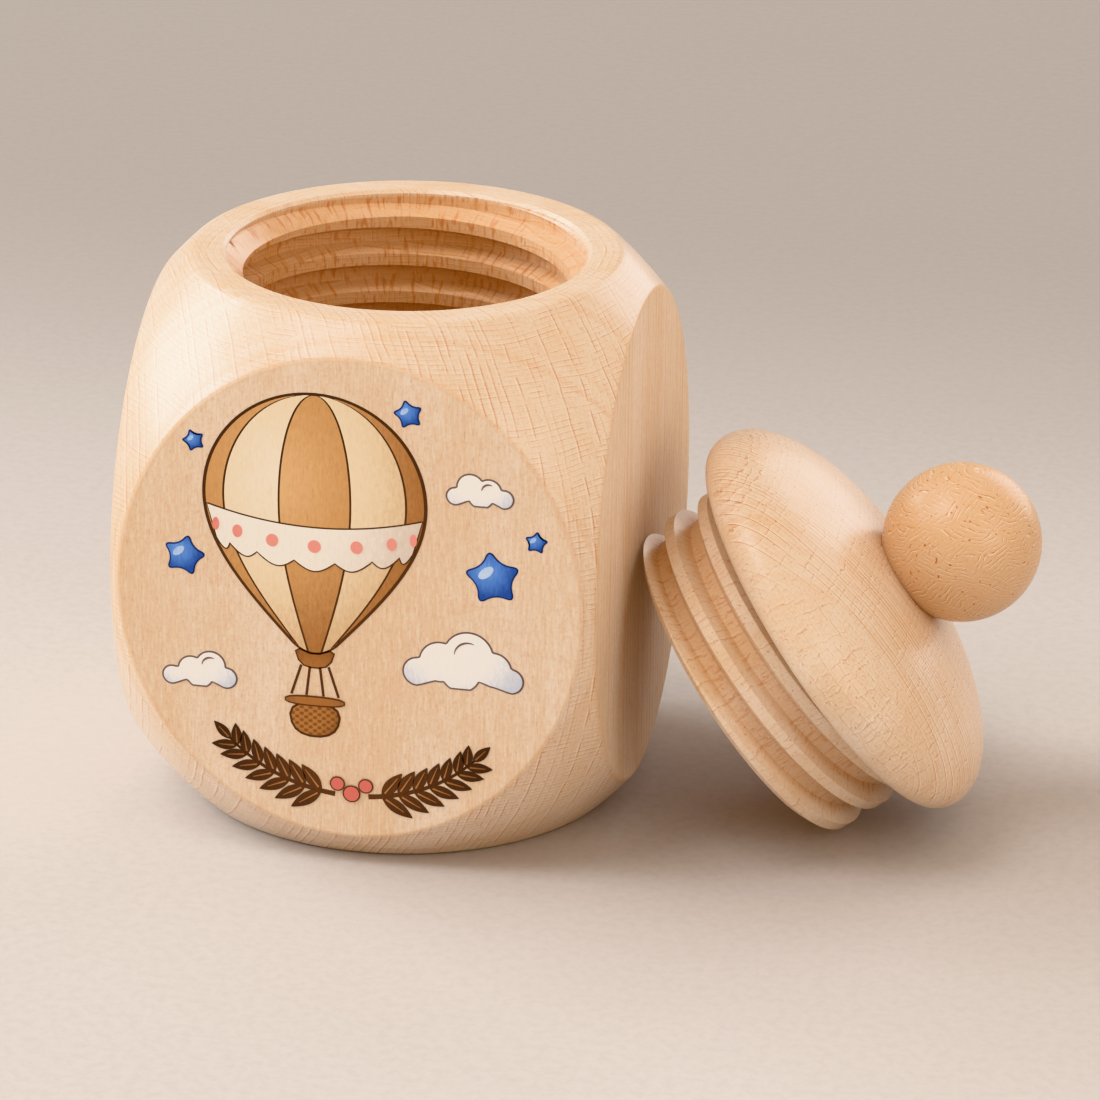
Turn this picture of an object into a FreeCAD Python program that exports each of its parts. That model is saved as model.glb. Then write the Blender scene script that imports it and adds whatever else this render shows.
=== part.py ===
"""Turned wooden keepsake box with a screw lid, shown with the lid off and leaning at its side."""
import FreeCAD, Part
import math
import os

Vector = FreeCAD.Vector
ORIGIN = Vector(0, 0, 0)
UP = Vector(0, 0, 1)

# Box body
BOX_WIDTH = 46.0
BOX_HEIGHT = 53.0
BARREL_RADIUS = 31.8
END_RADIUS = 20.2
END_ROUNDING = 1.2
FLAT_EDGE_ROUNDING = 0.5
FLOOR_THICKNESS = 8.0
CAVITY_CORNER = 2.0

# Screw thread shared by mouth and lid
BORE_RADIUS = 15.4
THREAD_HEIGHT = 1.6
THREAD_PITCH = 3.8
THREAD_RUN = 13.25
FLANK_ANGLE = 25.0
RADIAL_CLEARANCE = 0.25
FLANK_CLEARANCE = 0.15
MOUTH_LIP = 0.5
MOUTH_EDGE_BREAK = 0.3

# Lid
CAP_RADIUS = 20.4
CAP_UNDERSIDE_RADIUS = 19.4
CAP_WIDEST = 1.8
CAP_HEIGHT = 9.5
PLUG_LENGTH = 9.5
PLUG_END_BREAK = 0.4

# Knob and the dowel that joins it to the lid
BALL_RADIUS = 7.5
BALL_FLAT_CUT = 1.5
SEAT_MARGIN = 0.2
DOWEL_RADIUS = 2.0
DOWEL_CLEARANCE = 0.05
DOWEL_DEPTH_LID = 6.0
DOWEL_DEPTH_BALL = 7.0
DOWEL_END_GAP = 0.2

# Where the lid leans
LID_TILT = 36.5
LID_YAW = 8.0
LID_SPIN = 235.0
LID_Y = 0.0
LID_WALL_GAP = 0.2

# Overlap of cutting and joining shapes, and tolerance for picking edges
OVERLAP = 0.6
FLATNESS = 0.01

# Derived sizes
GROOVE_RADIUS = BORE_RADIUS + THREAD_HEIGHT
PLUG_CREST_RADIUS = GROOVE_RADIUS - RADIAL_CLEARANCE
PLUG_ROOT_RADIUS = BORE_RADIUS - RADIAL_CLEARANCE
PITCH_RADIUS = (BORE_RADIUS + GROOVE_RADIUS) / 2
SEAT_RADIUS = math.sqrt(BALL_RADIUS ** 2 - (BALL_RADIUS - BALL_FLAT_CUT) ** 2) + SEAT_MARGIN
BALL_CENTRE = CAP_HEIGHT + BALL_RADIUS - BALL_FLAT_CUT
DOWEL_HOLE_RADIUS = DOWEL_RADIUS + DOWEL_CLEARANCE


def section_point(radius, height):
    return Vector(radius, 0, height)


def line(start, end):
    return Part.makeLine(start, end)


def turned(edges):
    """Solid turned from a closed half section drawn in the XZ plane."""
    face = Part.Face(Part.Wire(edges))
    return face.revolve(ORIGIN, UP, 360)


def turned_polygon(points):
    corners = [section_point(radius, height) for radius, height in points]
    face = Part.Face(Part.makePolygon(corners + corners[:1]))
    return face.revolve(ORIGIN, UP, 360)


def helical_bar(inner_radius, outer_radius, half_width, start, run):
    """Trapezoid bar wound right-handed about Z; half_width is taken at the pitch radius."""
    slope = math.tan(math.radians(FLANK_ANGLE))
    inner_half = half_width + (PITCH_RADIUS - inner_radius) * slope
    outer_half = half_width - (outer_radius - PITCH_RADIUS) * slope
    corners = [
        section_point(inner_radius, -inner_half),
        section_point(outer_radius, -outer_half),
        section_point(outer_radius, outer_half),
        section_point(inner_radius, inner_half),
    ]
    profile = Part.makePolygon(corners + corners[:1])
    helix = Part.makeLongHelix(THREAD_PITCH, run, PITCH_RADIUS, 0)
    bar = Part.Wire(helix.Edges).makePipeShell([profile], True, True)
    bar.translate(Vector(0, 0, start))
    return bar


def thread_groove():
    """Helical groove of the mouth, run out above the rim."""
    half_width = THREAD_PITCH / 4
    start = BOX_HEIGHT - THREAD_RUN
    run = THREAD_RUN + THREAD_PITCH
    return helical_bar(BORE_RADIUS - OVERLAP, GROOVE_RADIUS, half_width, start, run)


def thread_ridge():
    """Helical ridge of the lid, in mesh with the groove when the cap sits on the rim."""
    half_width = THREAD_PITCH / 4 - FLANK_CLEARANCE
    inner_radius = PLUG_ROOT_RADIUS - OVERLAP
    return helical_bar(inner_radius, PLUG_CREST_RADIUS, half_width, -THREAD_RUN, THREAD_RUN)


def turned_cube():
    """Square block turned to a barrel, which leaves four round flats."""
    base = section_point(END_RADIUS, 0)
    middle = section_point(BARREL_RADIUS, BOX_HEIGHT / 2)
    rim = section_point(END_RADIUS, BOX_HEIGHT)
    barrel = turned([
        line(section_point(0, 0), base),
        Part.Arc(base, middle, rim).toShape(),
        line(rim, section_point(0, BOX_HEIGHT)),
        line(section_point(0, BOX_HEIGHT), section_point(0, 0)),
    ])
    half = BOX_WIDTH / 2
    block = Part.makeBox(BOX_WIDTH, BOX_WIDTH, BOX_HEIGHT, Vector(-half, -half, 0))
    cube = barrel.common(block)
    end_edges = [edge for edge in cube.Edges if edge.BoundBox.ZLength < FLATNESS]
    cube = cube.makeFillet(END_ROUNDING, end_edges)
    flat_edges = [edge for edge in cube.Edges if lies_on_flat(edge.BoundBox)]
    return cube.makeFillet(FLAT_EDGE_ROUNDING, flat_edges)


def lies_on_flat(box):
    half = BOX_WIDTH / 2
    on_x = box.XLength < FLATNESS and abs(abs(box.XMin) - half) < FLATNESS
    on_y = box.YLength < FLATNESS and abs(abs(box.YMin) - half) < FLATNESS
    return on_x or on_y


def make_box_body():
    cube = turned_cube()
    cavity = Part.makeCylinder(BORE_RADIUS, BOX_HEIGHT, Vector(0, 0, FLOOR_THICKNESS))
    floor_edges = [edge for edge in cavity.Edges if edge.BoundBox.ZMax < FLOOR_THICKNESS + FLATNESS]
    cavity = cavity.makeFillet(CAVITY_CORNER, floor_edges)
    lip_bottom = BOX_HEIGHT - MOUTH_LIP
    lead_in_bottom = lip_bottom - THREAD_HEIGHT - OVERLAP
    mouth = turned_polygon([
        (0, BOX_HEIGHT + OVERLAP),
        (GROOVE_RADIUS + MOUTH_EDGE_BREAK + OVERLAP, BOX_HEIGHT + OVERLAP),
        (GROOVE_RADIUS, BOX_HEIGHT - MOUTH_EDGE_BREAK),
        (GROOVE_RADIUS, lip_bottom),
        (BORE_RADIUS - OVERLAP, lead_in_bottom),
        (0, lead_in_bottom),
    ])
    body = cube.cut(cavity)
    body = body.cut(mouth)
    body = body.cut(thread_groove())
    return body


def make_lid():
    """Domed cap and threaded plug turned in one, axis on Z, cap underside at height zero."""
    dome_start = section_point(CAP_RADIUS, CAP_WIDEST)
    dome_rise = (CAP_HEIGHT - CAP_WIDEST) / math.sqrt(1 - (SEAT_RADIUS / CAP_RADIUS) ** 2)
    dome_top = section_point(0, CAP_WIDEST + dome_rise)
    dome = Part.Ellipse(dome_start, dome_top, section_point(0, CAP_WIDEST))
    dome_arc = Part.ArcOfEllipse(dome, 0, math.acos(SEAT_RADIUS / CAP_RADIUS)).toShape()
    underside_edge = section_point(CAP_UNDERSIDE_RADIUS, 0)
    edge_centre = section_point(CAP_UNDERSIDE_RADIUS, CAP_WIDEST)
    edge_curve = Part.Ellipse(underside_edge, dome_start, edge_centre)
    edge_arc = Part.ArcOfEllipse(edge_curve, 0, math.pi / 2).toShape()
    cap = turned([
        line(section_point(0, 0), underside_edge),
        edge_arc,
        dome_arc,
        line(section_point(SEAT_RADIUS, CAP_HEIGHT), section_point(0, CAP_HEIGHT)),
        line(section_point(0, CAP_HEIGHT), section_point(0, 0)),
    ])
    core = Part.makeCylinder(PLUG_ROOT_RADIUS, PLUG_LENGTH + OVERLAP, Vector(0, 0, -PLUG_LENGTH))
    envelope = turned_polygon([
        (0, -PLUG_LENGTH),
        (PLUG_CREST_RADIUS - PLUG_END_BREAK, -PLUG_LENGTH),
        (PLUG_CREST_RADIUS + OVERLAP, PLUG_END_BREAK + OVERLAP - PLUG_LENGTH),
        (PLUG_CREST_RADIUS + OVERLAP, OVERLAP),
        (0, OVERLAP),
    ])
    plug = core.fuse(thread_ridge()).common(envelope)
    lid = cap.fuse(plug)
    hole_bottom = Vector(0, 0, CAP_HEIGHT - DOWEL_DEPTH_LID)
    hole = Part.makeCylinder(DOWEL_HOLE_RADIUS, DOWEL_DEPTH_LID + OVERLAP, hole_bottom)
    return lid.cut(hole).removeSplitter()


def make_ball_knob():
    ball = Part.makeSphere(BALL_RADIUS)
    ball.translate(Vector(0, 0, BALL_CENTRE))
    side = 4 * BALL_RADIUS
    waste = Part.makeBox(side, side, side, Vector(-side / 2, -side / 2, CAP_HEIGHT - side))
    hole_bottom = Vector(0, 0, CAP_HEIGHT - OVERLAP)
    hole = Part.makeCylinder(DOWEL_HOLE_RADIUS, DOWEL_DEPTH_BALL + OVERLAP, hole_bottom)
    return ball.cut(waste).cut(hole)


def make_knob_dowel():
    bottom = CAP_HEIGHT - DOWEL_DEPTH_LID + DOWEL_END_GAP
    length = DOWEL_DEPTH_LID + DOWEL_DEPTH_BALL - 2 * DOWEL_END_GAP
    return Part.makeCylinder(DOWEL_RADIUS, length, Vector(0, 0, bottom))


def lean(shape):
    """Tips a shape from the lid's own axis to the leaning direction, still at the origin."""
    leaned = shape.copy()
    leaned.rotate(ORIGIN, UP, LID_SPIN)
    leaned.rotate(ORIGIN, Vector(0, 1, 0), 90 - LID_TILT)
    leaned.rotate(ORIGIN, UP, LID_YAW)
    return leaned


def main():
    os.makedirs("parts", exist_ok=True)
    box_body = make_box_body()
    lid = lean(make_lid())
    reach = lid.optimalBoundingBox(False)
    standing_place = Vector(BOX_WIDTH / 2 + LID_WALL_GAP - reach.XMin, LID_Y, -reach.ZMin)
    pieces = {
        "box_body": box_body,
        "lid": lid.translated(standing_place),
        "ball_knob": lean(make_ball_knob()).translated(standing_place),
        "knob_dowel": lean(make_knob_dowel()).translated(standing_place),
    }
    for name, shape in pieces.items():
        solid = shape.Solids[0]
        solid.exportStep("parts/" + name + ".step")
        print(name, len(shape.Solids), solid.isValid(), round(solid.Volume, 1))
    print("lid underside centre", standing_place)


main()
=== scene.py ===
"""Looks for the turned wooden keepsake box: wood, printed front flat, floor, light and camera."""
import bpy
import bmesh
import math
from mathutils import Euler, Matrix, Vector


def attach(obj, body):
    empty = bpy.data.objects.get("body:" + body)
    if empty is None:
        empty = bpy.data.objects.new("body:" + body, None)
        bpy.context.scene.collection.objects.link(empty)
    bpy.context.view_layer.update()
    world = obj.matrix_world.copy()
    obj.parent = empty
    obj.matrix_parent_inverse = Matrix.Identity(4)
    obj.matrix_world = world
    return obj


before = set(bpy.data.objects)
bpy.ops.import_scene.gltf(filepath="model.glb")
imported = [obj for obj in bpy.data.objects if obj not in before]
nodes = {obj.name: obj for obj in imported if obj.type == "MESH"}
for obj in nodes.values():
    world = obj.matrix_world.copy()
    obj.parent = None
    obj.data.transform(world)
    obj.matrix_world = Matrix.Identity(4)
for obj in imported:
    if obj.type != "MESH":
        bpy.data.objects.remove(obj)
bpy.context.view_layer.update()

MM = 0.001
TINY = 1e-6
ORIGIN = (0.0, 0.0, 0.0)

# Where the lid leans: centre of the cap's underside and the direction of its axis
LID_PLACE = Vector((40.658194, 0.0, 18.628974)) * MM
LID_TIP = math.radians(53.5)
LID_YAW = math.radians(8.0)
LID_TURN = Euler((0.0, LID_TIP, LID_YAW), "XYZ")

# The ball's grain lies askew to the lid's
KNOB_TURN = Euler((0.4, LID_TIP + 0.9, LID_YAW + 0.5), "XYZ")

# Form of the box in millimetres, for the grain, the darker flat edges and the painted shade inside
# that follow it
# A pair says where a change in the wood starts and ends
HALF_WIDTH = 23.0
FLAT_FACE = (HALF_WIDTH - 0.12, HALF_WIDTH - 0.02)
FLAT_BORDER = (HALF_WIDTH - 0.4, HALF_WIDTH - 0.1)
MID_HEIGHT = 26.5
BARREL_CENTRE = -4.27
BARREL_ARC = 36.07
MOUTH_RADIUS = 17.3
MOUTH_WALL = (MOUTH_RADIUS - 0.25, MOUTH_RADIUS)
MOUTH_EDGE = (52.2, 52.7)
THREAD_END = (38.0, 40.0)
RAY_HEART = (-35.0, 30.0)
RAY_REACH = 74.0

# Form of the lid in millimetres, with heights from the cap's underside
CAP_FOOT = (0.4, 2.0)
TOP_REACH = (14.5, 18.0)
PLUG_START = (-0.35, -0.05)
PLUG_END = (-9.4, -9.2)
THREAD_DEPTH = (15.3, 16.2)

# Grain in millimetres
RING_WIDTH = 1.6
STREAK_WIDTH = 0.45
STREAK_LENGTH = 1.6
RELIEF = 0.12 * MM


def rgb(red, green, blue):
    """Linear colour from display values out of 255."""
    channels = []
    for value in (red, green, blue):
        share = value / 255
        if share <= 0.04045:
            channels.append(share / 12.92)
        else:
            channels.append(((share + 0.055) / 1.055) ** 2.4)
    return (*channels, 1.0)


class Shader:
    """Builds a node material; each method returns the socket that it makes."""

    def __init__(self, name):
        self.material = bpy.data.materials.new(name)
        self.material.use_nodes = True
        self.tree = self.material.node_tree
        self.tree.nodes.clear()
        output = self.tree.nodes.new("ShaderNodeOutputMaterial")
        self.surface = self.tree.nodes.new("ShaderNodeBsdfPrincipled")
        self.tree.links.new(self.surface.outputs[0], output.inputs[0])

    def put(self, socket, value):
        if isinstance(value, bpy.types.NodeSocket):
            self.tree.links.new(value, socket)
        else:
            socket.default_value = value

    def set(self, **values):
        for name, value in values.items():
            self.put(self.surface.inputs[name.replace("_", " ")], value)

    def math(self, operation, *values):
        node = self.tree.nodes.new("ShaderNodeMath")
        node.operation = operation
        for socket, value in zip(node.inputs, values):
            self.put(socket, value)
        return node.outputs[0]

    def plus(self, first, second):
        return self.math("ADD", first, second)

    def minus(self, first, second):
        return self.math("SUBTRACT", first, second)

    def times(self, first, second):
        return self.math("MULTIPLY", first, second)

    def distance(self, x, y):
        return self.math("SQRT", self.plus(self.times(x, x), self.times(y, y)))

    def vector(self, operation, *values):
        node = self.tree.nodes.new("ShaderNodeVectorMath")
        node.operation = operation
        for socket, value in zip(node.inputs, values):
            self.put(socket, value)
        return node.outputs[0]

    def scaled(self, vector, factor):
        node = self.tree.nodes.new("ShaderNodeVectorMath")
        node.operation = "SCALE"
        self.put(node.inputs[0], vector)
        self.put(node.inputs["Scale"], factor)
        return node.outputs[0]

    def parts(self, vector):
        node = self.tree.nodes.new("ShaderNodeSeparateXYZ")
        self.put(node.inputs[0], vector)
        return node.outputs

    def joined(self, x, y, z):
        node = self.tree.nodes.new("ShaderNodeCombineXYZ")
        for socket, value in zip(node.inputs, (x, y, z)):
            self.put(socket, value)
        return node.outputs[0]

    def noise(self, vector, scale=1.0, detail=2.0, rough=0.5, warp=0.0, colour=False):
        node = self.tree.nodes.new("ShaderNodeTexNoise")
        self.put(node.inputs["Vector"], vector)
        self.put(node.inputs["Scale"], scale)
        self.put(node.inputs["Detail"], detail)
        self.put(node.inputs["Roughness"], rough)
        self.put(node.inputs["Distortion"], warp)
        return node.outputs["Color" if colour else "Fac"]

    def drawn_noise(self, vector, factors, detail, rough=0.5, warp=0.0):
        """Noise drawn out along the axes with the smaller factors."""
        return self.noise(self.vector("MULTIPLY", vector, factors), 1.0, detail, rough, warp)

    def white(self, value):
        node = self.tree.nodes.new("ShaderNodeTexWhiteNoise")
        node.noise_dimensions = "1D"
        self.put(node.inputs["W"], value)
        return node.outputs["Value"]

    def ramp(self, value, low, high, start=0.0, end=1.0):
        """Smooth step of value from low to high, sent to start and end."""
        node = self.tree.nodes.new("ShaderNodeMapRange")
        node.interpolation_type = "SMOOTHSTEP"
        names = ("Value", "From Min", "From Max", "To Min", "To Max")
        for name, number in zip(names, (value, low, high, start, end)):
            self.put(node.inputs[name], number)
        return node.outputs["Result"]

    def fall(self, value, low, high):
        """Smooth step down from 1 to 0."""
        return self.ramp(value, low, high, 1.0, 0.0)

    def stripe(self, value, start, peak, end):
        """Rises to 1 from start to peak, and falls back by end."""
        return self.times(self.ramp(value, start, peak), self.fall(value, peak, end))

    def mix(self, factor, first, second):
        node = self.tree.nodes.new("ShaderNodeMix")
        node.data_type = "RGBA"
        node.clamp_factor = True
        self.put(node.inputs[0], factor)
        self.put(node.inputs[6], first)
        self.put(node.inputs[7], second)
        return node.outputs[2]

    def weigh(self, *pairs):
        """Sum of masks, each times its own number."""
        total = 0.0
        for mask, number in pairs:
            total = self.plus(total, self.times(mask, number))
        return total

    def bump(self, height, strength, distance):
        node = self.tree.nodes.new("ShaderNodeBump")
        self.put(node.inputs["Height"], height)
        self.put(node.inputs["Strength"], strength)
        self.put(node.inputs["Distance"], distance)
        return node.outputs["Normal"]

    def place(self, location=ORIGIN, rotation=ORIGIN):
        """Millimetres in a frame of its own, fixed to the piece."""
        where = self.tree.nodes.new("ShaderNodeTexCoord")
        node = self.tree.nodes.new("ShaderNodeMapping")
        node.vector_type = "TEXTURE"
        self.tree.links.new(where.outputs["Object"], node.inputs["Vector"])
        node.inputs["Location"].default_value = location
        node.inputs["Rotation"].default_value = rotation
        node.inputs["Scale"].default_value = (MM, MM, MM)
        return node.outputs[0]


# Colours of the wood
PALE = rgb(228, 210, 193)
WARM = rgb(223, 197, 170)
DEEP = rgb(212, 164, 114)
GROOVE = rgb(182, 106, 34)
# Pale fibres of the grain, and the painted highlight along the pale edges of lines
PALE_GRAIN_AND_GLINT = rgb(247, 235, 222)
FLECK = rgb(186, 112, 52)
# Painted shade for the inside of the box's bore and the roots of the lid's thread
BORE_SHADE = rgb(208, 152, 92)
TORN = rgb(186, 104, 40)


class Wood(Shader):
    """Pale beech, built up mark by mark: each mark adds to the colour and the height so far."""

    def __init__(self, name, location=ORIGIN, rotation=ORIGIN):
        super().__init__(name)
        self.point = self.place(location, rotation)
        self.colour = PALE
        self.height = 0.0

    def tint(self, amount, colour):
        self.colour = self.mix(amount, self.colour, colour)

    def sink(self, mask, depth):
        self.height = self.minus(self.height, self.times(mask, depth))

    def waver(self, scale, size, point=None):
        """Drift of a line from its course, up to half of size each way."""
        drift = self.noise(self.point if point is None else point, scale, 1.0)
        return self.times(self.minus(drift, 0.5), size)

    def grain(self, pith, fibres, rings):
        """Fibres along the local Z axis, soft rings round the heart at pith, and small flecks."""
        sway = self.vector("SUBTRACT", self.noise(self.point, 0.05, 2.0, colour=True), (0.5, 0.5, 0.5))
        x, y, _ = self.parts(self.vector("ADD", self.point, self.scaled(sway, 2.5)))
        radius = self.distance(self.minus(x, pith[0]), self.minus(y, pith[1]))
        uneven = self.waver(0.22, 3.0, self.joined(radius, 0.0, 0.0))
        years = self.plus(self.math("DIVIDE", radius, RING_WIDTH), uneven)
        share = self.math("FRACT", years)
        ring = self.times(self.ramp(share, 0.25, 0.88), self.fall(share, 0.90, 1.0))
        ring = self.times(ring, self.ramp(self.white(self.math("FLOOR", years)), 0.0, 1.0, 0.25, 1.0))

        broad = self.drawn_noise(self.point, (0.16, 0.16, 0.03), 3.0)
        fibre = self.drawn_noise(self.point, (6.5, 6.5, 0.8), 2.0, 0.55)
        fleck = self.drawn_noise(self.point, (4.0, 4.0, 0.9), 1.0)
        mottle = self.noise(self.point, 3.5, 3.0, 0.6)
        self.tint(self.ramp(broad, 0.3, 0.7), WARM)
        self.tint(self.times(ring, rings), DEEP)
        self.tint(self.times(self.ramp(fibre, 0.50, 0.72), fibres), DEEP)
        self.tint(self.times(self.ramp(fibre, 0.50, 0.30), fibres), PALE_GRAIN_AND_GLINT)
        self.tint(self.ramp(mottle, 0.42, 0.75, 0.0, 0.35), DEEP)
        self.tint(self.times(self.ramp(fleck, 0.62, 0.74), 0.22), GROOVE)
        self.height = self.times(self.plus(fibre, mottle), 0.12)

    def grooves(self, across, spacing, amount, length=2.2, threshold=0.44, glint=0.4, relief=0.02,
                least=0.15, point=None):
        """Thin dark lines, each with a pale edge that is partly pale grain and partly a painted
        highlight, at a spacing along the field across.

        They break at about every length, the more so at a higher threshold, and each has a
        strength of its own, from least to 1.
        """
        count = self.math("DIVIDE", across, spacing)
        share = self.math("FRACT", count)
        strength = self.ramp(self.white(self.math("FLOOR", count)), 0.0, 0.9, least, 1.0)
        breaks = self.noise(self.point if point is None else point, 1.0 / length, 2.0, 0.6)
        whole = self.ramp(breaks, threshold - 0.10, threshold + 0.10)
        weight = self.times(self.times(strength, whole), amount)
        dark = self.times(self.stripe(share, 0.28, 0.42, 0.56), weight)
        pale = self.times(self.stripe(share, 0.52, 0.66, 0.80), weight)
        self.tint(dark, GROOVE)
        # Pale edge of each line: partly pale grain, partly a painted highlight
        self.tint(self.times(pale, glint), PALE_GRAIN_AND_GLINT)
        self.sink(dark, relief)

    def pits(self, scale, amount):
        """Small dark pores."""
        pit = self.times(self.ramp(self.noise(self.point, scale, 0.0), 0.77, 0.81), amount)
        self.tint(pit, FLECK)
        self.sink(pit, 0.08)

    def arc(self, x, y):
        """Way round the axis, in millimetres at the mouth's radius."""
        return self.times(self.math("ARCTAN2", x, y), MOUTH_RADIUS)

    def torn(self, where, streaks):
        """Short torn streaks up the wall of a thread."""
        x, y, z = self.parts(self.point)
        across = self.math("DIVIDE", self.arc(x, y), STREAK_WIDTH)
        up = self.math("DIVIDE", z, STREAK_LENGTH)
        streak = self.noise(self.joined(across, up, 0.0), 1.0, 2.0)
        torn = self.times(self.ramp(streak, 0.52, 0.68), where)
        self.tint(self.times(torn, streaks), TORN)
        self.sink(torn, 0.10)

    def finish(self, smooth, rough, coat, bump):
        """Satin where the wood stands proud, rougher where it is sunk."""
        roughness = self.ramp(self.height, 0.04, 0.17, rough, smooth)
        self.set(Base_Color=self.colour, Roughness=roughness, IOR=1.58)
        self.set(Coat_Weight=coat, Coat_Roughness=0.22)
        self.set(Normal=self.bump(self.height, bump, RELIEF))
        return self.material


def box_wood():
    wood = Wood("box_wood")
    x, y, z = wood.parts(wood.point)
    out = wood.distance(x, y)
    sideways = wood.math("ABSOLUTE", x)
    forward = wood.math("ABSOLUTE", y)
    on_front = wood.ramp(forward, *FLAT_FACE)
    on_side = wood.ramp(sideways, *FLAT_FACE)
    turned = wood.minus(1.0, wood.math("MAXIMUM", on_front, on_side))
    fibres = wood.weigh((turned, 0.12), (on_front, 0.28), (on_side, 0.28))
    rings = wood.weigh((turned, 0.30), (on_front, 0.12), (on_side, 0.30))
    wood.grain((-14.0, 78.0), fibres, rings)

    # Turning lines follow the barrel's own profile, and run round the rim as circles
    rise = wood.minus(z, MID_HEIGHT)
    lean = wood.math("ARCTAN2", rise, wood.minus(out, BARREL_CENTRE))
    track = wood.plus(wood.times(lean, BARREL_ARC), wood.waver(0.10, 2.0))
    track_amount = wood.times(turned, 0.62)
    wood.grooves(track, 0.50, track_amount, length=1.4, threshold=0.46, glint=1.0, least=0.35)

    # Rays run out from the heart of the tree, across the turning lines
    bearing = wood.math("ARCTAN2", wood.minus(RAY_HEART[1], y), wood.minus(x, RAY_HEART[0]))
    spread = wood.plus(wood.times(bearing, RAY_REACH), wood.waver(0.3, 0.5))
    ray_amount = wood.weigh((turned, 0.66), (on_front, 0.08))
    wood.grooves(spread, 0.82, ray_amount, length=2.0, glint=0.8)

    # On the side flats the growth rings stand on edge, as fine upright lines
    upright = wood.vector("MULTIPLY", wood.point, (1.0, 1.0, 0.08))
    edges = wood.plus(y, wood.waver(0.5, 0.8, upright))
    edge_amount = wood.times(on_side, 0.36)
    wood.grooves(edges, 1.25, edge_amount, length=1.2, threshold=0.42, glint=0.8, point=upright)
    wood.pits(4.0, wood.weigh((turned, 0.45), (on_front, 0.25), (on_side, 0.2)))

    # The edge where a flat meets the turned barrel is a little darker
    bulge = wood.math("SQRT", wood.minus(BARREL_ARC ** 2, wood.times(rise, rise)))
    depth = wood.minus(wood.plus(bulge, BARREL_CENTRE), out)
    on_flat = wood.ramp(wood.math("MAXIMUM", sideways, forward), *FLAT_BORDER)
    edge = wood.times(wood.fall(depth, 0.1, 0.35), on_flat)
    wood.tint(wood.times(edge, 0.22), DEEP)

    # Inside, the wood is painted deeper in colour as painted shade in the bore, with torn streaks on
    # the thread
    inside = wood.times(wood.fall(out, *MOUTH_WALL), wood.fall(z, *MOUTH_EDGE))
    wood.tint(wood.times(inside, 0.55), BORE_SHADE)
    thread = wood.times(inside, wood.ramp(z, *THREAD_END))
    wood.torn(thread, 0.60)

    # The turned wood is satin, the sanded flats are matt
    smooth = wood.weigh((turned, 0.28), (on_front, 0.60), (on_side, 0.75))
    rough = wood.weigh((turned, 0.46), (on_front, 0.70), (on_side, 0.85))
    return wood.finish(smooth, rough, coat=wood.times(turned, 0.45), bump=0.35)


def lid_wood():
    wood = Wood("lid_wood", LID_PLACE, LID_TURN)
    x, y, z = wood.parts(wood.point)
    out = wood.distance(x, y)
    on_cap = wood.ramp(z, *CAP_FOOT)
    on_top = wood.times(wood.fall(wood.math("ABSOLUTE", y), *TOP_REACH), on_cap)
    on_edge = wood.times(wood.minus(1.0, on_top), on_cap)
    wood.grain((6.0, -160.0), 0.12, wood.times(on_top, 0.30))

    # Growth rings are cut as long fine lines across the dome, with short rays between them
    lines = wood.plus(wood.weigh((y, 0.82), (z, 0.57)), wood.waver(0.12, 0.9))
    wood.grooves(lines, 0.48, on_top, length=2.5, threshold=0.38, glint=1.0)
    ticks = wood.plus(x, wood.waver(1.2, 0.8))
    wood.grooves(ticks, 0.60, wood.times(on_top, 0.60), length=0.7, threshold=0.48, glint=0.8)

    # Round the edge of the cap the wood shows end grain: a fine net of short lines
    round_lines = wood.plus(wood.minus(z, wood.times(out, 0.6)), wood.waver(1.0, 0.7))
    wood.grooves(round_lines, 0.44, wood.times(on_edge, 0.62), length=0.7, threshold=0.46, glint=1.0)
    cross_lines = wood.plus(wood.arc(x, y), wood.waver(0.9, 1.2))
    wood.grooves(cross_lines, 0.54, wood.times(on_edge, 0.58), length=0.6, threshold=0.48, glint=0.8)
    wood.pits(4.0, 0.6)

    # Roots of the thread are painted deeper in colour as painted shade in the grooves, with torn
    # streaks; small ticks cross its crests
    plug = wood.fall(z, *PLUG_START)
    root = wood.times(wood.fall(out, *THREAD_DEPTH), plug)
    wood.tint(wood.times(root, 0.35), BORE_SHADE)
    wall = wood.times(plug, wood.ramp(z, *PLUG_END))
    wood.torn(wood.times(root, wall), 0.35)
    wood.grooves(cross_lines, 0.9, wood.times(wall, 0.45), length=1.0, threshold=0.50)

    # The end of the plug has the fine circles of a faced end
    faced = wood.minus(plug, wall)
    circles = wood.plus(out, wood.waver(0.3, 0.3))
    wood.grooves(circles, 0.7, wood.times(faced, 0.35), length=1.5, threshold=0.46)
    return wood.finish(smooth=0.33, rough=0.52, coat=0.30, bump=0.35)


def knob_wood():
    wood = Wood("knob_wood", LID_PLACE, KNOB_TURN)
    wood.grain((30.0, -60.0), 0.15, 0.15)
    wood.tint(0.66, DEEP)
    x, _, z = wood.parts(wood.point)

    # Short strokes lie side by side in patches, and turn from patch to patch
    patch = wood.ramp(wood.noise(wood.point, 0.45, 1.0), 0.42, 0.58)
    flow = wood.plus(x, wood.waver(0.30, 2.0))
    eddy = wood.plus(wood.weigh((x, 0.55), (z, 0.83)), wood.waver(0.50, 1.4))
    for strokes, where in ((flow, patch), (eddy, wood.minus(1.0, patch))):
        wood.grooves(strokes, 0.40, where, length=0.5, threshold=0.50, glint=0.9, relief=0.01,
                     least=0.4)
    wood.pits(3.0, 1.0)
    return wood.finish(smooth=0.36, rough=0.56, coat=0.25, bump=0.4)


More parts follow.
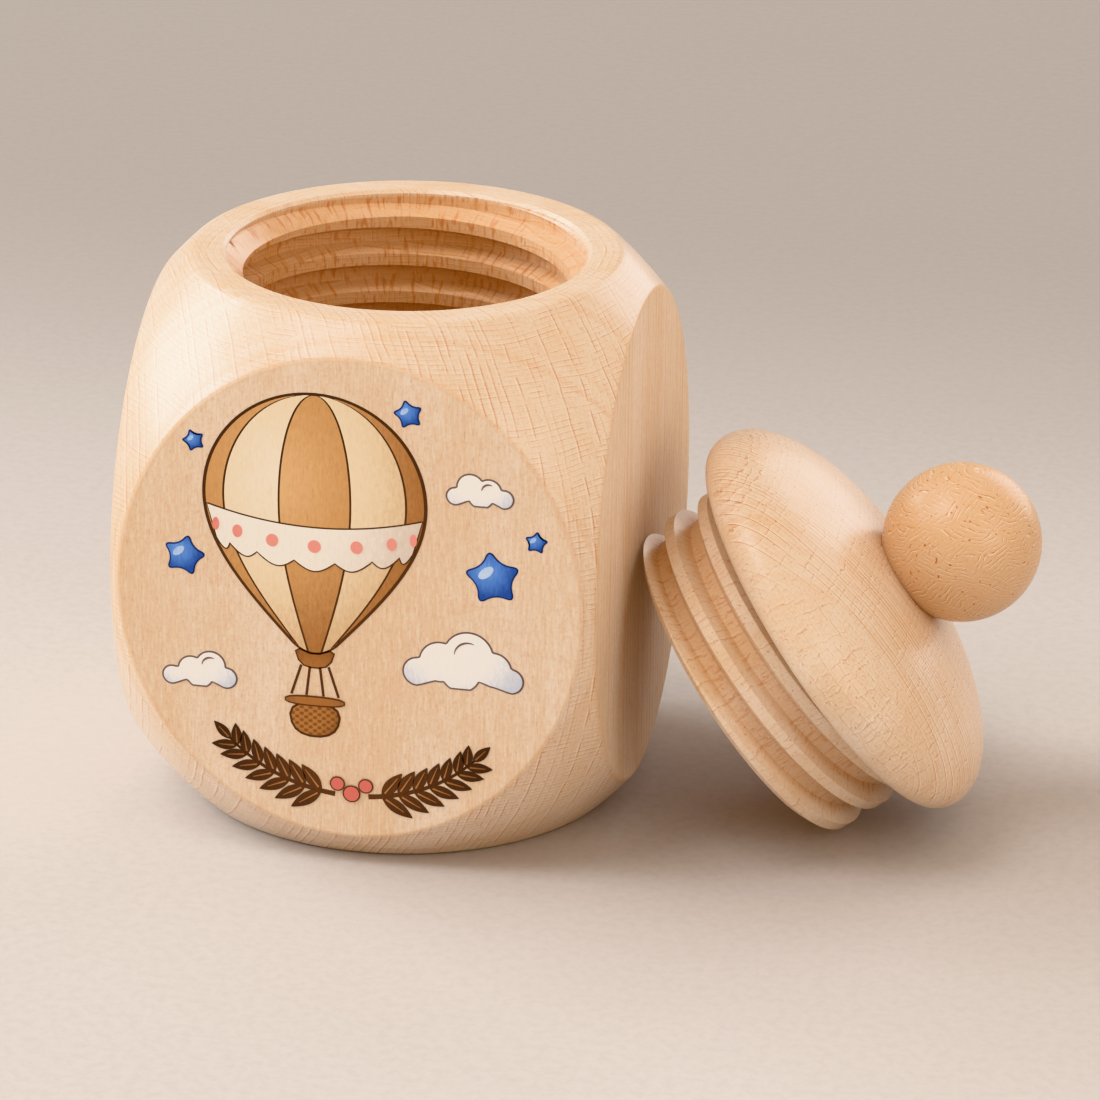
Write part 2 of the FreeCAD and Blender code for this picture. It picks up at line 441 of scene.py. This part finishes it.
def dowel_wood():
    wood = Wood("dowel_wood", LID_PLACE, LID_TURN)
    wood.grain((40.0, 10.0), 0.4, 0.3)
    wood.grooves(wood.parts(wood.point)[0], 0.6, 0.4)
    return wood.finish(smooth=0.45, rough=0.60, coat=0.0, bump=0.30)


def dress(name, material):
    mesh = nodes[name].data
    mesh.materials.clear()
    mesh.materials.append(material)


dress("box_body", box_wood())
dress("lid", lid_wood())
dress("ball_knob", knob_wood())
dress("knob_dowel", dowel_wood())


# Printed design on the front flat: thin films of ink, laid one on another, in millimetres
FILM = 0.03
INK_LINE = 0.22
FINE_LINE = 0.14
INK_RELIEF = 0.08 * MM
CANE_ACROSS = 7.4
CANE_UP = 9.6


def arc_points(count, shape):
    return [shape(2 * math.pi * step / count) for step in range(count)]


def rounded(points, rounds):
    """Cuts the corners of a closed outline, once per round."""
    for _ in range(rounds):
        cut = []
        for (x0, z0), (x1, z1) in zip(points, points[1:] + points[:1]):
            cut.append((0.75 * x0 + 0.25 * x1, 0.75 * z0 + 0.25 * z1))
            cut.append((0.25 * x0 + 0.75 * x1, 0.25 * z0 + 0.75 * z1))
        points = cut
    return points


def inset(points, distance):
    """Moves a closed outline inwards; it runs anticlockwise as seen from the front."""
    moved = []
    count = len(points)
    for step in range(count):
        x0, z0 = points[step - 1]
        x1, z1 = points[step]
        x2, z2 = points[(step + 1) % count]
        along = Vector((x1 - x0, z1 - z0)).normalized() + Vector((x2 - x1, z2 - z1)).normalized()
        if along.length < TINY:
            moved.append((x1, z1))
            continue
        along.normalize()
        moved.append((x1 - along.y * distance, z1 + along.x * distance))
    return moved


def ribbon(path, widths):
    """Outline of a stroke along a path, with a width at each point."""
    left, right = [], []
    last = len(path) - 1
    for step, (x, z) in enumerate(path):
        x0, z0 = path[max(step - 1, 0)]
        x1, z1 = path[min(step + 1, last)]
        along = Vector((x1 - x0, z1 - z0)).normalized()
        half = widths[step] / 2
        left.append((x - along.y * half, z + along.x * half))
        right.append((x + along.y * half, z - along.x * half))
    return right + left[::-1]


def disc(x, z, radius, count=32):
    return arc_points(count, lambda a: (x + radius * math.cos(a), z + radius * math.sin(a)))


def film(name, outlines, layer, material):
    """Closed thin prisms that stand on the flat or on the film below."""
    bottom = -(HALF_WIDTH + layer * FILM) * MM
    top = -(HALF_WIDTH + (layer + 1) * FILM) * MM
    mesh = bmesh.new()
    for points in outlines:
        low = [mesh.verts.new((x * MM, bottom, z * MM)) for x, z in points]
        high = [mesh.verts.new((x * MM, top, z * MM)) for x, z in points]
        mesh.faces.new(high)
        mesh.faces.new(low[::-1])
        for step in range(len(points)):
            after = (step + 1) % len(points)
            mesh.faces.new((low[step], low[after], high[after], high[step]))
    bmesh.ops.recalc_face_normals(mesh, faces=mesh.faces)
    caps = [face for face in mesh.faces if len(face.verts) > 4]
    bmesh.ops.triangulate(mesh, faces=caps)
    data = bpy.data.meshes.new(name)
    mesh.to_mesh(data)
    mesh.free()
    data.materials.append(material)
    piece = bpy.data.objects.new(name, data)
    bpy.context.scene.collection.objects.link(piece)
    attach(piece, "box")


def ink(name, colour, shade, middle, spread, light=None, weave=None):
    """Matt ink on wood: colour near the middle turns to shade by the spread.

    Pencil strokes and some grain show through. A light shows round the middle, and a weave
    crosses the whole.
    """
    s = Shader(name)
    point = s.place()
    x, _, z = s.parts(point)
    across = s.math("DIVIDE", s.minus(x, middle[0]), spread[0])
    up = s.math("DIVIDE", s.minus(z, middle[1]), spread[1])
    pencil = s.drawn_noise(point, (3.2, 1.0, 1.3), 3.0, 0.6, 0.4)
    grain = s.drawn_noise(point, (6.0, 6.0, 0.75), 2.0, 0.55)
    away = s.plus(s.distance(across, up), s.times(s.minus(pencil, 0.5), 0.45))
    mixed = s.mix(s.ramp(away, 0.35, 1.0), colour, shade)
    if light:
        mixed = s.mix(s.ramp(away, 0.0, 0.45, 0.8, 0.0), mixed, light)
    height = s.weigh((grain, 0.6), (pencil, 0.4))
    if weave:
        over = s.math("SINE", s.times(x, CANE_ACROSS))
        under = s.math("SINE", s.times(z, CANE_UP))
        cane = s.times(over, under)
        mixed = s.mix(s.ramp(cane, -0.2, 0.5, 0.0, 0.75), mixed, weave)
        height = s.minus(height, s.times(cane, 0.3))
    mixed = s.mix(s.ramp(grain, 0.50, 0.78, 0.0, 0.22), mixed, shade)
    s.set(Base_Color=mixed, Roughness=s.ramp(pencil, 0.3, 0.7, 0.42, 0.58), IOR=1.46)
    s.set(Normal=s.bump(height, 0.25, INK_RELIEF))
    return s.material


# Hot-air balloon: a share is a height up the envelope from 0 to 1,
# and a side is -1 at its left edge and 1 at its right
BALLOON_X = -3.2
BALLOON_LOW = 22.0
BALLOON_TOP = 46.4
BALLOON_HALF = 10.4
MOUTH_HALF = 2.0
MOUTH_BOW = 0.9
BELLY = 0.58
CROWN_POWER = 1.6
GORE_EDGES = (-90, -56, -19, 19, 56, 90)
GORE_GAP = 0.10
GORE_STEPS = 40
GORE_MOUTH_STEPS = 8
OUTLINE_STEPS = 60
OUTLINE_MOUTH_STEPS = 12

# Band round its belly
BAND_LOW = 0.40
BAND_HIGH = 0.53
BAND_DOTS = 0.46
BAND_SWEEP = 84
BAND_INSET = 0.15
BAND_DIP = 1.1
SCALLOPS = 7
SCALLOP_STEPS = 10
SCALLOP_DEPTH = 0.035
DOT_COUNT = 7
DOT_SWEEP = 72
DOT_RADIUS = 0.62

# Skirt, ropes and basket below its mouth
SKIRT_TOP = BALLOON_LOW - 0.55
SKIRT_LOW = BALLOON_LOW - 2.1
SKIRT_TOP_HALF = 1.9
SKIRT_LOW_HALF = 1.35
SKIRT_TOP_BOW = 0.75
SKIRT_LOW_BOW = 0.35
SKIRT_LINE = 0.16
BASKET_TOP = BALLOON_LOW - 5.4
BASKET_LOW = BALLOON_LOW - 9.2
BASKET_TOP_HALF = 2.45
BASKET_LOW_HALF = 1.9
BASKET_SIDE_TOP = BASKET_TOP - 0.7
BASKET_EDGE_HALF = 2.75
BASKET_EDGE_LOW = BASKET_TOP - 0.75
ROPE_SIDES = (-1, -0.36, 0.36, 1)
ROPE_TOP_HALF = 1.3
ROPE_LOW_HALF = 2.25
ROPE_WIDTH = 0.24


def balloon_half(share):
    if share < BELLY:
        return MOUTH_HALF + (BALLOON_HALF - MOUTH_HALF) * math.sin(math.pi / 2 * share / BELLY)
    return BALLOON_HALF * math.sqrt(max(0.0, 1 - ((share - BELLY) / (1 - BELLY)) ** 2))


def balloon_height(share, side):
    """Height on the envelope; the mouth bows down a little towards the viewer."""
    bow = MOUTH_BOW * (1 - side * side) * (1 - share)
    return BALLOON_LOW + (BALLOON_TOP - BALLOON_LOW) * share - bow


def balloon_shares(steps):
    """Shares from 0 to 1, closer together towards the crown."""
    return [1 - (1 - step / steps) ** CROWN_POWER for step in range(steps + 1)]


def balloon_mouth(first, last, steps):
    """Points along the mouth between two sides."""
    points = []
    for step in range(1, steps):
        side = first + (last - first) * step / steps
        points.append((BALLOON_X + MOUTH_HALF * side, balloon_height(0, side)))
    return points


def gore(first, last):
    """One panel of the envelope between two meridians, in degrees."""
    first_side = math.sin(math.radians(first))
    last_side = math.sin(math.radians(last))
    right, left = [], []
    for share in balloon_shares(GORE_STEPS)[:-1]:
        half = balloon_half(share)
        if half * (last_side - first_side) < 3 * GORE_GAP:
            continue
        left.append((BALLOON_X + half * first_side + GORE_GAP, balloon_height(share, first_side)))
        right.append((BALLOON_X + half * last_side - GORE_GAP, balloon_height(share, last_side)))
    return balloon_mouth(first_side, last_side, GORE_MOUTH_STEPS) + right + left[::-1]


def balloon_outline():
    shares = balloon_shares(OUTLINE_STEPS)
    right = [(BALLOON_X + balloon_half(share), balloon_height(share, 1)) for share in shares]
    left = [(2 * BALLOON_X - x, z) for x, z in right[:-1]]
    outline = balloon_mouth(-1, 1, OUTLINE_MOUTH_STEPS) + right + left[::-1]
    return inset(outline, -INK_LINE)


def on_band(share, side):
    """Point on the band, which dips towards the viewer."""
    x = BALLOON_X + (balloon_half(share) - BAND_INSET) * side
    return x, balloon_height(share, side) - BAND_DIP * (1 - side * side)


def band():
    """Band round the belly with a scalloped lower edge."""
    upper, lower = [], []
    steps = SCALLOP_STEPS * SCALLOPS
    for step in range(steps + 1):
        side = math.sin(math.radians(-BAND_SWEEP + 2 * BAND_SWEEP * step / steps))
        scallop = abs(math.sin(math.pi * SCALLOPS * step / steps))
        upper.append(on_band(BAND_HIGH, side))
        lower.append(on_band(BAND_LOW - SCALLOP_DEPTH * scallop, side))
    return lower + upper[::-1]


def band_dots():
    """Round dots along the band, narrower towards its ends."""
    dots = []
    for step in range(DOT_COUNT):
        side = math.sin(math.radians(-DOT_SWEEP + 2 * DOT_SWEEP * step / (DOT_COUNT - 1)))
        x, z = on_band(BAND_DOTS, side)
        narrow = math.sqrt(1 - 0.8 * side * side)
        dots.append([(x + (px - x) * narrow, pz) for px, pz in disc(x, z, DOT_RADIUS)])
    return dots


def make_balloon(line_ink, pink):
    middle = (BALLOON_X - 3.2, BALLOON_TOP - 8.5)
    tan = ink("ink_tan", rgb(206, 158, 108), rgb(164, 112, 68), middle, (15, 19), rgb(226, 186, 140))
    cream = ink("ink_cream", rgb(240, 222, 194), rgb(206, 172, 132), middle, (16, 20),
                rgb(250, 240, 222))
    white = ink("ink_band", rgb(246, 242, 236), rgb(214, 200, 190), middle, (14, 20))
    panels = list(zip(GORE_EDGES, GORE_EDGES[1:]))
    film("print_balloon_outline", [balloon_outline()], 0, line_ink)
    film("print_balloon_tan_panels", [gore(*edges) for edges in panels[0::2]], 1, tan)
    film("print_balloon_cream_panels", [gore(*edges) for edges in panels[1::2]], 1, cream)
    film("print_balloon_band_line", [inset(band(), -FINE_LINE)], 2, line_ink)
    film("print_balloon_band", [band()], 3, white)
    film("print_balloon_dots", band_dots(), 4, pink)


def make_basket(line_ink):
    """Skirt, ropes and basket, which hang below the balloon's mouth."""
    skirt = rounded([
        (BALLOON_X - SKIRT_LOW_HALF, SKIRT_LOW),
        (BALLOON_X, SKIRT_LOW - SKIRT_LOW_BOW),
        (BALLOON_X + SKIRT_LOW_HALF, SKIRT_LOW),
        (BALLOON_X + SKIRT_TOP_HALF, SKIRT_TOP),
        (BALLOON_X, SKIRT_TOP - SKIRT_TOP_BOW),
        (BALLOON_X - SKIRT_TOP_HALF, SKIRT_TOP),
    ], 1)
    ropes = []
    for side in ROPE_SIDES:
        path = [
            (BALLOON_X + ROPE_TOP_HALF * side, SKIRT_LOW - SKIRT_LINE),
            (BALLOON_X + ROPE_LOW_HALF * side, BASKET_TOP + SKIRT_LINE),
        ]
        ropes.append(ribbon(path, (ROPE_WIDTH, ROPE_WIDTH)))
    basket = rounded([
        (BALLOON_X - BASKET_LOW_HALF, BASKET_LOW),
        (BALLOON_X + BASKET_LOW_HALF, BASKET_LOW),
        (BALLOON_X + BASKET_TOP_HALF, BASKET_SIDE_TOP),
        (BALLOON_X - BASKET_TOP_HALF, BASKET_SIDE_TOP),
    ], 2)
    edge = rounded([
        (BALLOON_X - BASKET_EDGE_HALF, BASKET_EDGE_LOW),
        (BALLOON_X + BASKET_EDGE_HALF, BASKET_EDGE_LOW),
        (BALLOON_X + BASKET_EDGE_HALF, BASKET_TOP),
        (BALLOON_X - BASKET_EDGE_HALF, BASKET_TOP),
    ], 2)
    brown = ink("ink_brown", rgb(168, 114, 70), rgb(116, 74, 44), (BALLOON_X, 17.5), (4.5, 6))
    cane = ink("ink_cane", rgb(178, 124, 76), rgb(124, 80, 48), (BALLOON_X - 0.6, 15), (4, 4),
               weave=rgb(112, 70, 42))
    film("print_balloon_skirt_line", [inset(skirt, -SKIRT_LINE)], 0, line_ink)
    film("print_balloon_skirt", [skirt], 1, brown)
    film("print_balloon_ropes", ropes, 0, line_ink)
    film("print_basket_line", [inset(basket, -INK_LINE)], 0, line_ink)
    film("print_basket", [basket], 1, cane)
    film("print_basket_edge_line", [inset(edge, -FINE_LINE)], 2, line_ink)
    film("print_basket_edge", [edge], 3, brown)


# Clouds: round lobes on a flat foot, each with one short line inside
# Each is its place, its scale, and its lobes as (across, up, radius)
CLOUDS = (
    (10.6, 20.4, 1.62, (
        (-2.5, -0.15, 0.9), (-1.2, 0.55, 1.25), (0.45, 1.05, 1.5),
        (1.9, 0.35, 1.1), (2.9, -0.25, 0.8), (0.0, 0.0, 1.2),
    )),
    (12.4, 38.0, 1.08, (
        (-2.2, -0.2, 0.85), (-0.9, 0.7, 1.25), (0.7, 0.45, 1.15), (2.0, -0.15, 0.9), (0.0, 0.0, 1.2),
    )),
    (-14.2, 17.8, 1.15, (
        (-2.3, -0.2, 0.85), (-0.7, 0.45, 1.15), (0.9, 0.85, 1.3), (2.2, -0.1, 0.95), (0.0, 0.0, 1.2),
    )),
)
CLOUD_FOOT = -1.05
CLOUD_STEPS = 220
CLOUD_LINE = 0.17
PUFF_LOBE = 2
PUFF_REACH = 0.55
PUFF_START = 65
PUFF_SWEEP = 110
PUFF_STEPS = 14
PUFF_THIN = 0.05
PUFF_SWELL = 0.15


def cloud(x, z, scale, lobes):
    """Outline round overlapping lobes, seen from a point near the foot."""

    def edge(angle):
        ray = Vector((math.cos(angle), math.sin(angle)))
        reach = 0.0
        for across, up, radius in lobes:
            along = across * ray.x + up * ray.y
            off = across * ray.y - up * ray.x
            if abs(off) < radius:
                reach = max(reach, along + math.sqrt(radius * radius - off * off))
        if ray.y < -TINY:
            reach = min(reach, CLOUD_FOOT / ray.y)
        return (x + scale * reach * ray.x, z + scale * reach * ray.y)

    return rounded(arc_points(CLOUD_STEPS, edge), 1)


def puff(x, z, scale, lobe):
    """Short curved stroke inside one lobe, thickest half way."""
    across, up, radius = lobe
    reach = PUFF_REACH * radius
    path, widths = [], []
    for step in range(PUFF_STEPS + 1):
        angle = math.radians(PUFF_START + PUFF_SWEEP * step / PUFF_STEPS)
        px = x + scale * (across + reach * math.cos(angle))
        pz = z + scale * (up + reach * math.sin(angle))
        path.append((px, pz))
        widths.append(PUFF_THIN + PUFF_SWELL * math.sin(math.pi * step / PUFF_STEPS))
    return ribbon(path, widths)


def make_clouds():
    for number, (x, z, scale, lobes) in enumerate(CLOUDS, 1):
        body = cloud(x, z, scale, lobes)
        white = ink("ink_cloud_%d" % number, rgb(249, 248, 248), rgb(196, 204, 222),
                    (x - 0.6, z + 1.1 * scale), (4.6 * scale, 3.2 * scale))
        rim = ink("ink_cloud_line_%d" % number, rgb(124, 106, 104), rgb(96, 78, 78),
                  (x, z), (5 * scale, 4 * scale))
        film("print_cloud_line_%d" % number, [body], 0, rim)
        film("print_cloud_%d" % number, [inset(body, CLOUD_LINE)], 1, white)
        film("print_cloud_puff_%d" % number, [puff(x, z, scale, lobes[PUFF_LOBE])], 2, rim)


# Stars with soft points, each its place, radius and turn in degrees
STARS = (
    (13.6, 30.0, 3.0, 8),
    (-15.6, 29.6, 2.3, -12),
    (5.6, 45.3, 1.6, 14),
    (-14.6, 41.0, 1.25, 20),
    (17.6, 33.9, 1.25, -6),
)
STAR_WAIST = 0.54
STAR_LINE = 0.15
SHINE_LEFT = 0.36 * 0.62
SHINE_UP = 0.36 * 0.5
SHINE_SIZE = 0.15
SHINE_STRETCH = 1.9
SHINE_TURN = math.radians(40)
SHINE_STEPS = 20


def star(x, z, radius, turn):
    points = []
    for step in range(10):
        angle = math.radians(90 + turn + 36 * step)
        reach = radius if step % 2 == 0 else STAR_WAIST * radius
        points.append((x + reach * math.cos(angle), z + reach * math.sin(angle)))
    return rounded(points, 3)


def shine(x, z, radius):
    """Slanted oval to the upper left of a star's middle."""
    points = []
    for px, pz in disc(0, 0, SHINE_SIZE * radius, SHINE_STEPS):
        px = SHINE_STRETCH * px
        across = px * math.cos(SHINE_TURN) - pz * math.sin(SHINE_TURN)
        rise = px * math.sin(SHINE_TURN) + pz * math.cos(SHINE_TURN)
        points.append((x - SHINE_LEFT * radius + across, z + SHINE_UP * radius + rise))
    return points


def make_stars():
    for number, (x, z, radius, turn) in enumerate(STARS, 1):
        body = star(x, z, radius, turn)
        blue = ink("ink_star_%d" % number, rgb(86, 136, 218), rgb(44, 84, 170),
                   (x - 0.2 * radius, z + 0.25 * radius), (0.95 * radius, 0.95 * radius),
                   rgb(128, 172, 238))
        navy = ink("ink_star_line_%d" % number, rgb(38, 66, 132), rgb(28, 48, 104),
                   (x, z), (radius, radius))
        film("print_star_line_%d" % number, [body], 0, navy)
        film("print_star_%d" % number, [inset(body, STAR_LINE)], 1, blue)
    gleam = ink("ink_star_shine", rgb(206, 226, 252), rgb(160, 192, 240), (0, 30), (20, 20))
    film("print_star_shines", [shine(x, z, radius) for x, z, radius, _ in STARS], 2, gleam)


# Leafy sprig under the balloon: two stems that part from its middle, with berries between them
SPRIG_X = 0.3
SPRIG_Z = 20.2
SPRIG_WIDE = 15.2
SPRIG_DEEP = 13.2
STEM_START = 276
STEM_SWEEP = 44
STEM_STEPS = 24
STEM_WIDTH = 0.50
STEM_TAPER = 0.28
LEAF_ANGLES = (281, 287, 293, 299, 305, 311, 316, 319.5)
LEAF_LENGTH = 3.5
LEAF_SHORTER = 0.17
LEAF_WIDTH = 1.25
LEAF_NARROWER = 0.04
LEAF_TILT = 0.75
LEAF_STEPS = 16
INNER_LEAF = 0.9
VEIN_LENGTH = 0.9
VEIN_START = 0.14
VEIN_REACH = 0.66
VEIN_STEPS = 8
VEIN_WIDTH = 0.16
VEIN_TAPER = 0.10
BERRY_LINE = 0.13
# Each berry is its place from the bottom of the stems, and its radius
BERRIES = ((0.0, 0.25, 0.72), (-1.35, 1.15, 0.6), (1.35, 1.15, 0.6))


def leaf(x, z, heading, length, width):
    right, left = [], []
    for step in range(LEAF_STEPS + 1):
        share = step / LEAF_STEPS
        half = width / 2 * math.sin(math.pi * share ** 0.85) ** 0.9
        along = length * share
        for side, points in ((-1, right), (1, left)):
            px = x + along * math.cos(heading) - side * half * math.sin(heading)
            pz = z + along * math.sin(heading) + side * half * math.cos(heading)
            points.append((px, pz))
    return right[:-1] + left[:0:-1]


def vein(x, z, heading, length):
    """Pale line along the middle of a leaf, thinner towards its tip."""
    path, widths = [], []
    for step in range(VEIN_STEPS + 1):
        share = VEIN_START + VEIN_REACH * step / VEIN_STEPS
        path.append((x + length * share * math.cos(heading), z + length * share * math.sin(heading)))
        widths.append(VEIN_WIDTH - VEIN_TAPER * step / VEIN_STEPS)
    return ribbon(path, widths)


def on_stem(side, angle):
    turn = math.radians(angle)
    return (SPRIG_X + side * SPRIG_WIDE * math.cos(turn), SPRIG_Z + SPRIG_DEEP * math.sin(turn))


def make_sprig(pink):
    stems, leaves, veins = [], [], []
    for side in (-1, 1):
        path, widths = [], []
        for step in range(STEM_STEPS + 1):
            path.append(on_stem(side, STEM_START + STEM_SWEEP * step / STEM_STEPS))
            widths.append(STEM_WIDTH - STEM_TAPER * step / STEM_STEPS)
        stems.append(ribbon(path, widths))
        for number, angle in enumerate(LEAF_ANGLES):
            x, z = on_stem(side, angle)
            ahead_x, ahead_z = on_stem(side, angle + 1)
            heading = math.atan2(ahead_z - z, ahead_x - x)
            length = LEAF_LENGTH - LEAF_SHORTER * number
            width = LEAF_WIDTH - LEAF_NARROWER * number
            at_tip = angle == LEAF_ANGLES[-1]
            for tilt in (0.0,) if at_tip else (LEAF_TILT, -LEAF_TILT):
                size = INNER_LEAF if tilt * side > 0 else 1.0
                leaves.append(leaf(x, z, heading + tilt, length * size, width))
                veins.append(vein(x, z, heading + tilt, length * VEIN_LENGTH))
    berries = []
    for across, up, radius in BERRIES:
        berries.append(disc(SPRIG_X + across, SPRIG_Z - SPRIG_DEEP + up, radius))
    dark = ink("ink_sprig", rgb(92, 58, 38), rgb(66, 40, 26), (SPRIG_X, 9), (13, 6), rgb(110, 72, 48))
    pale = ink("ink_vein", rgb(178, 128, 88), rgb(150, 102, 66), (SPRIG_X, 9), (13, 6))
    film("print_sprig_stems", stems, 0, dark)
    film("print_sprig_leaves", leaves, 1, dark)
    film("print_sprig_veins", veins, 2, pale)
    film("print_berry_lines", [inset(points, -BERRY_LINE) for points in berries], 3, dark)
    film("print_berries", berries, 4, pink)


dark_line = ink("ink_line", rgb(88, 56, 38), rgb(70, 43, 28), (0, 26), (22, 22))
pink_ink = ink("ink_pink", rgb(238, 158, 148), rgb(214, 118, 110), (0, 30), (20, 20))
make_balloon(dark_line, pink_ink)
make_basket(dark_line)
make_clouds()
make_stars()
make_sprig(pink_ink)


# Floor and backdrop, in metres: flat, then a bend, then upright
FLOOR_FRONT = -1.6
FLOOR_BACK = 0.9
FLOOR_HALF_WIDTH = 2.0
BEND_RADIUS = 0.6
BEND_STEPS = 16
BACKDROP_HEIGHT = 2.2
FLOOR_RELIEF = 0.15 * MM

# It is painted darker towards the back, as painted shade, between these places in millimetres
FLOOR_SHADE_SPAN = (0.0, 170.0)


def floor_material():
    s = Shader("pale_floor")
    point = s.place()
    grain = s.noise(point, 0.9, 4.0, 0.65)
    patches = s.noise(point, 0.02, 3.0)
    colour = s.mix(s.ramp(patches, 0.3, 0.7), rgb(191, 185, 185), rgb(189, 183, 182))
    colour = s.mix(s.ramp(grain, 0.35, 0.75, 0.0, 0.25), colour, rgb(166, 158, 155))
    # Painted shade: the floor turns darker towards the back
    back = s.ramp(s.parts(point)[1], *FLOOR_SHADE_SPAN, 0.0, 0.8)
    colour = s.mix(back, colour, rgb(142, 134, 131))
    s.set(Base_Color=colour, Roughness=s.ramp(grain, 0.3, 0.7, 0.75, 0.9), IOR=1.3)
    s.set(Normal=s.bump(grain, 0.15, FLOOR_RELIEF))
    return s.material


def make_floor():
    profile = [(FLOOR_FRONT, 0.0), (FLOOR_BACK, 0.0)]
    for step in range(1, BEND_STEPS + 1):
        angle = math.pi / 2 * step / BEND_STEPS
        depth = FLOOR_BACK + BEND_RADIUS * math.sin(angle)
        profile.append((depth, BEND_RADIUS * (1 - math.cos(angle))))
    profile.append((FLOOR_BACK + BEND_RADIUS, BACKDROP_HEIGHT))
    mesh = bmesh.new()
    rows = []
    for depth, height in profile:
        left = mesh.verts.new((-FLOOR_HALF_WIDTH, depth, height))
        right = mesh.verts.new((FLOOR_HALF_WIDTH, depth, height))
        rows.append((left, right))
    for low, high in zip(rows, rows[1:]):
        mesh.faces.new((low[0], low[1], high[1], high[0]))
    data = bpy.data.meshes.new("floor")
    mesh.to_mesh(data)
    mesh.free()
    for face in data.polygons:
        face.use_smooth = True
    data.materials.append(floor_material())
    floor = bpy.data.objects.new("floor", data)
    bpy.context.scene.collection.objects.link(floor)


make_floor()


# Light: soft boxes that all point at the box, in metres and watts
AIM = Vector((0.012, 0.0, 0.028))
COOL = (0.88, 0.98, 1.0)
PLAIN = (1.0, 1.0, 1.0)
WARM_LIGHT = (1.0, 0.95, 0.87)
WORLD_COLOUR = (1.0, 0.82, 0.63, 1.0)
WORLD_STRENGTH = 0.92


def softbox(name, place, size, power, colour):
    light = bpy.data.lights.new(name, "AREA")
    light.shape = "SQUARE"
    light.size = size
    light.energy = power
    light.color = colour
    lamp = bpy.data.objects.new(name, light)
    lamp.location = place
    lamp.rotation_euler = (AIM - Vector(place)).to_track_quat("-Z", "Y").to_euler()
    bpy.context.scene.collection.objects.link(lamp)


softbox("left", (-1.60, -0.20, 0.64), size=0.84, power=19.6, colour=COOL)
softbox("left_back", (-1.60, 0.44, 0.78), size=0.90, power=23.5, colour=COOL)
softbox("top", (-0.30, -0.26, 0.85), size=0.40, power=2.80, colour=PLAIN)
softbox("right", (0.70, -0.45, 0.40), size=0.50, power=1.40, colour=WARM_LIGHT)
softbox("back", (0.40, 0.85, 0.32), size=0.60, power=3.2, colour=PLAIN)

bpy.context.scene.view_settings.view_transform = "Khronos PBR Neutral"

world = bpy.data.worlds.new("studio")
world.use_nodes = True
background = world.node_tree.nodes["Background"]
background.inputs["Color"].default_value = WORLD_COLOUR
background.inputs["Strength"].default_value = WORLD_STRENGTH
bpy.context.scene.world = world


# Camera: angles in radians, distance in metres
CAMERA_AZIMUTH = 0.2105
CAMERA_HEIGHT = 0.3781
CAMERA_DISTANCE = 0.65785
CAMERA_ROLL = 0.0111
CAMERA_TARGET = Vector((13.96, 0.0, 24.0)) * MM
CLIP_START = 0.01
FOCAL_PIXELS = 6950.0
IMAGE_PIXELS = 1100
SENSOR = 36.0


def make_camera():
    back = Vector((
        math.sin(CAMERA_AZIMUTH) * math.cos(CAMERA_HEIGHT),
        -math.cos(CAMERA_AZIMUTH) * math.cos(CAMERA_HEIGHT),
        math.sin(CAMERA_HEIGHT),
    ))
    right = Vector((0, 0, 1)).cross(back).normalized()
    up = back.cross(right)
    turned_right = right * math.cos(CAMERA_ROLL) + up * math.sin(CAMERA_ROLL)
    turned_up = up * math.cos(CAMERA_ROLL) - right * math.sin(CAMERA_ROLL)
    data = bpy.data.cameras.new("camera")
    data.sensor_width = SENSOR
    data.lens = SENSOR * FOCAL_PIXELS / IMAGE_PIXELS
    data.clip_start = CLIP_START
    camera = bpy.data.objects.new("camera", data)
    axes = Matrix((turned_right, turned_up, back)).transposed().to_4x4()
    camera.matrix_world = Matrix.Translation(CAMERA_TARGET + back * CAMERA_DISTANCE) @ axes
    bpy.context.scene.collection.objects.link(camera)
    bpy.context.scene.camera = camera


make_camera()
